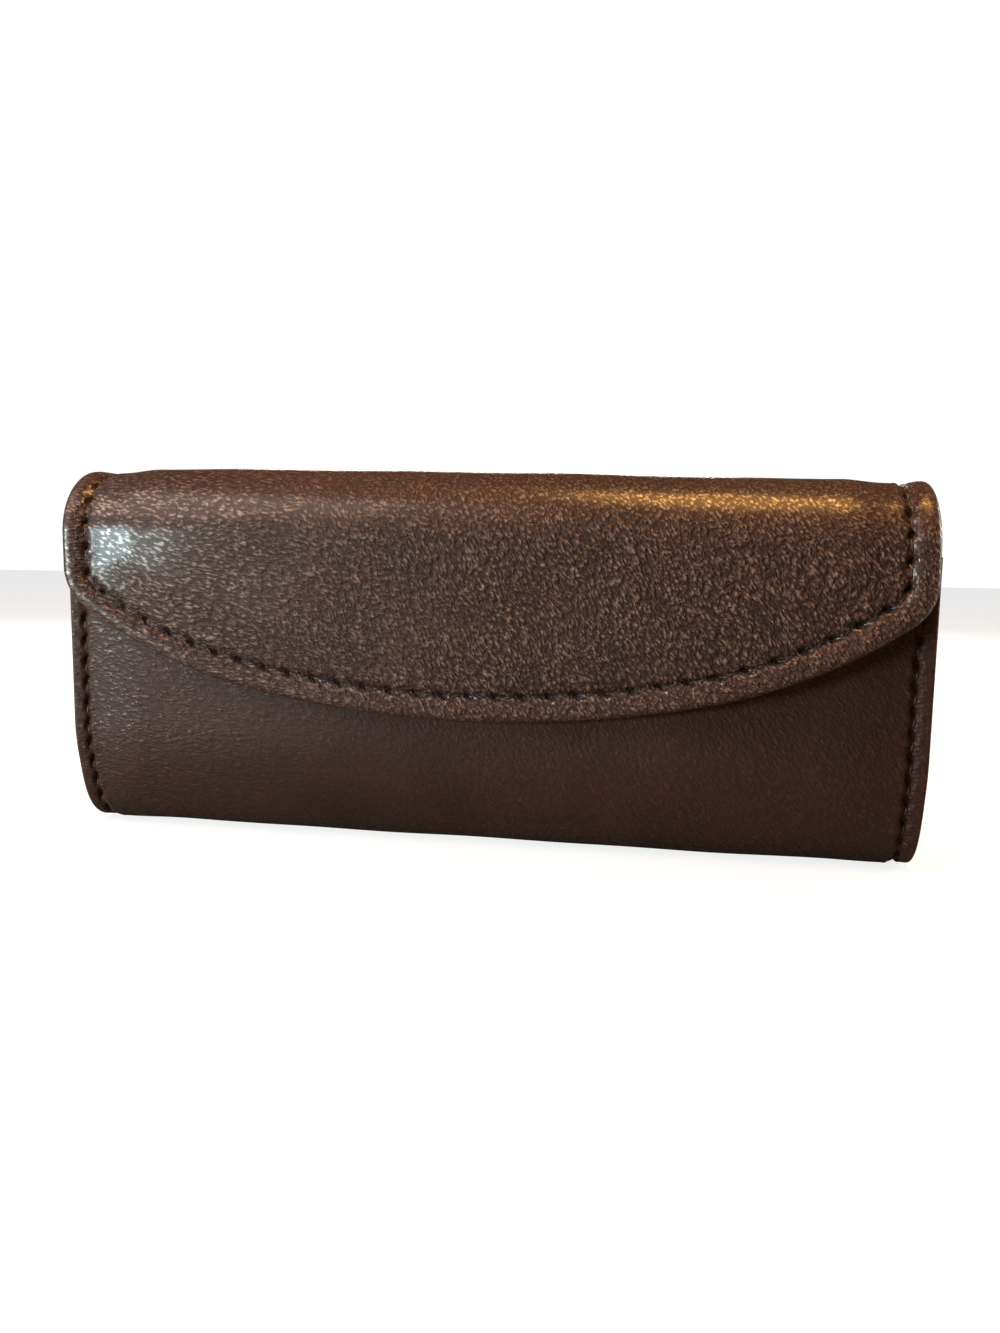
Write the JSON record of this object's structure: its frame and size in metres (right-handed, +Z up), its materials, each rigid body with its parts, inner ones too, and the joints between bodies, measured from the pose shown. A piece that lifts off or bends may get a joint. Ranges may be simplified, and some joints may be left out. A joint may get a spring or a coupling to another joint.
{
  "type": "flap glasses case",
  "caption": "Padded leather glasses case: lined upright pouch with end gussets, closed by a wide stitched flap with a curved lower edge.",
  "frame": {"origin": "middle of the base, on the surface that the case stands on", "axes": "+Z up, +X along the case, -Y towards the front flap"},
  "size_m": [0.165, 0.0428, 0.0754],
  "materials": {
    "case_leather": "satin, fine pebbled grain",
    "stiffener": "matt fibre board",
    "padding": "matt felt",
    "lining": "brushed microfibre",
    "steel": "nickel plated",
    "thread": "waxed thread"
  },
  "bodies": {
    "pouch": {"front_leather": "case_leather", "base_leather": "case_leather", "back_leather": "case_leather", "front_board": "stiffener", "base_board": "stiffener", "back_board": "stiffener", "front_lining": "lining", "base_lining": "lining", "back_lining": "lining", "left_gusset": "case_leather", "right_gusset": "case_leather", "left_gusset_lining": "lining", "right_gusset_lining": "lining", "mouth_facing": "case_leather", "mouth_stitching": "thread", "strike_plate": "steel", "left_front_seam": "thread", "right_front_seam": "thread", "left_back_seam": "thread", "right_back_seam": "thread"},
    "flap_top": {"flap_top_leather": "case_leather", "flap_top_padding": "padding", "flap_top_lining": "lining", "flap_end_fillers": "padding", "flap_top_stitching": "thread"},
    "flap_front": {"flap_front_leather": "case_leather", "flap_front_padding": "padding", "flap_edge_filler": "padding", "flap_front_lining": "lining", "flap_magnet": "steel", "flap_front_stitching": "thread"}
  },
  "joints": [
    {"name": "flap_hinge", "type": "hinge", "parent": "pouch", "child": "flap_top", "pos_m": [0, 0.01705, 0.07105], "axis": [-1, 0, 0], "range_deg": [0, 120]},
    {"name": "flap_front_fold", "type": "hinge", "parent": "flap_top", "child": "flap_front", "pos_m": [0, -0.01705, 0.07105], "axis": [-1, 0, 0], "range_deg": [0, 55]}
  ]
}
